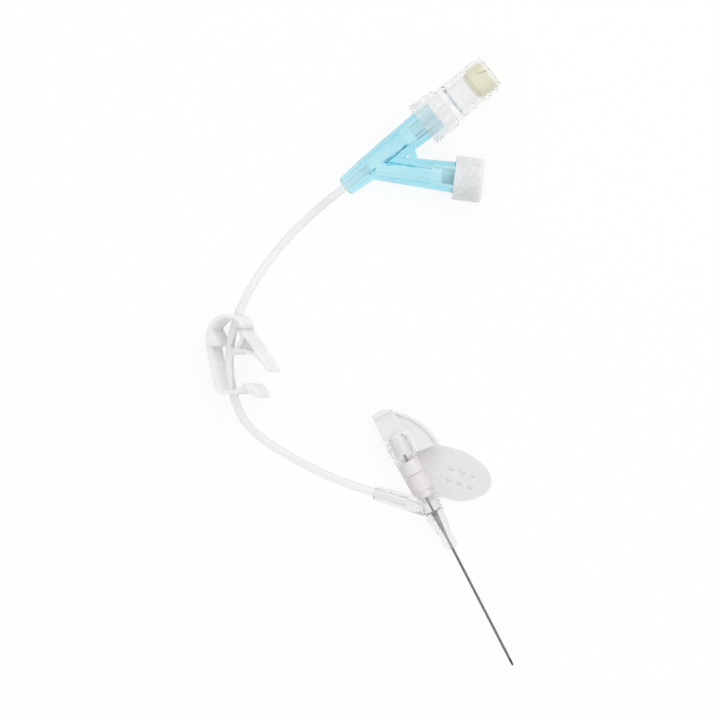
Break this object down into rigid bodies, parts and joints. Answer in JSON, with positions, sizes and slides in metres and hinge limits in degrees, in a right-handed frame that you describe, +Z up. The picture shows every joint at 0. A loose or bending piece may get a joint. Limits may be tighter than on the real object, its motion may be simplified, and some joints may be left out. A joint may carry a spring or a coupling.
{
  "type": "iv cannula",
  "caption": "Closed-system Y-type IV cannula: winged clear hub with needle and catheter, extension tube, pinch clamp, blue Y connector, vent cap and injection cap.",
  "frame": {"origin": "the point of the table under the middle of the object's box, without the extension tube", "axes": "+Z up from the table, +Y along the object's length from the needle's tip to the injection cap, +X towards the wing's side"},
  "size_m": [0.0769, 0.1521, 0.0134],
  "materials": {
    "clear_plastic": "clear, polished",
    "steel": "bright drawn steel",
    "catheter_plastic": "soft, translucent",
    "cream_rubber": "matt moulded rubber",
    "cream_plastic": "satin",
    "wing_plastic": "soft satin",
    "handle_plastic": "translucent white, satin",
    "blue_plastic": "transparent blue, polished",
    "white_plastic": "satin",
    "filter_disc": "porous",
    "cap_plastic": "clear, slightly milky",
    "yellow_rubber": "matt moulded rubber",
    "tube_plastic": "clear soft tube"
  },
  "bodies": {
    "line": {"catheter_hub": "clear_plastic", "catheter_wedge": "steel", "catheter_tube": "catheter_plastic", "septum_plug": "cream_rubber", "septum_ring": "cream_plastic", "wing": "wing_plastic", "extension_tube": "tube_plastic", "y_connector": "blue_plastic"},
    "stylet": {"needle": "steel", "needle_handle": "handle_plastic"},
    "clamp": {"clamp_frame": "white_plastic"},
    "lever": {"clamp_lever": "white_plastic"},
    "vent": {"vent_cap": "white_plastic", "vent_filter": "filter_disc"},
    "injection": {"injection_cap": "cap_plastic", "injection_septum": "yellow_rubber"}
  },
  "joints": [
    {"name": "needle_withdraw", "type": "slide", "parent": "line", "child": "stylet", "axis": [-0.4587, 0.8886, 0], "range_m": [0, 0.066]},
    {"name": "clamp_travel", "type": "hinge", "parent": "line", "child": "clamp", "pos_m": [-0.0004, -0.0004, 0.00535], "axis": [0, 0, 1], "range_deg": [-6, 8]},
    {"name": "clamp_close", "type": "hinge", "parent": "clamp", "child": "lever", "pos_m": [-0.02898, 0.00768, 0.00681], "axis": [0.3746, 0, -0.9272], "range_deg": [0, 18.5], "stiffness_Nm_per_rad": 0.0005, "deforming": ["extension_tube"]},
    {"name": "vent_cap_off", "type": "slide", "parent": "line", "child": "vent", "axis": [0.9919, -0.1271, 0], "range_m": [0, 0.009]},
    {"name": "injection_cap_off", "type": "slide", "parent": "line", "child": "injection", "axis": [0.7837, 0.6211, 0], "range_m": [0, 0.009]}
  ]
}
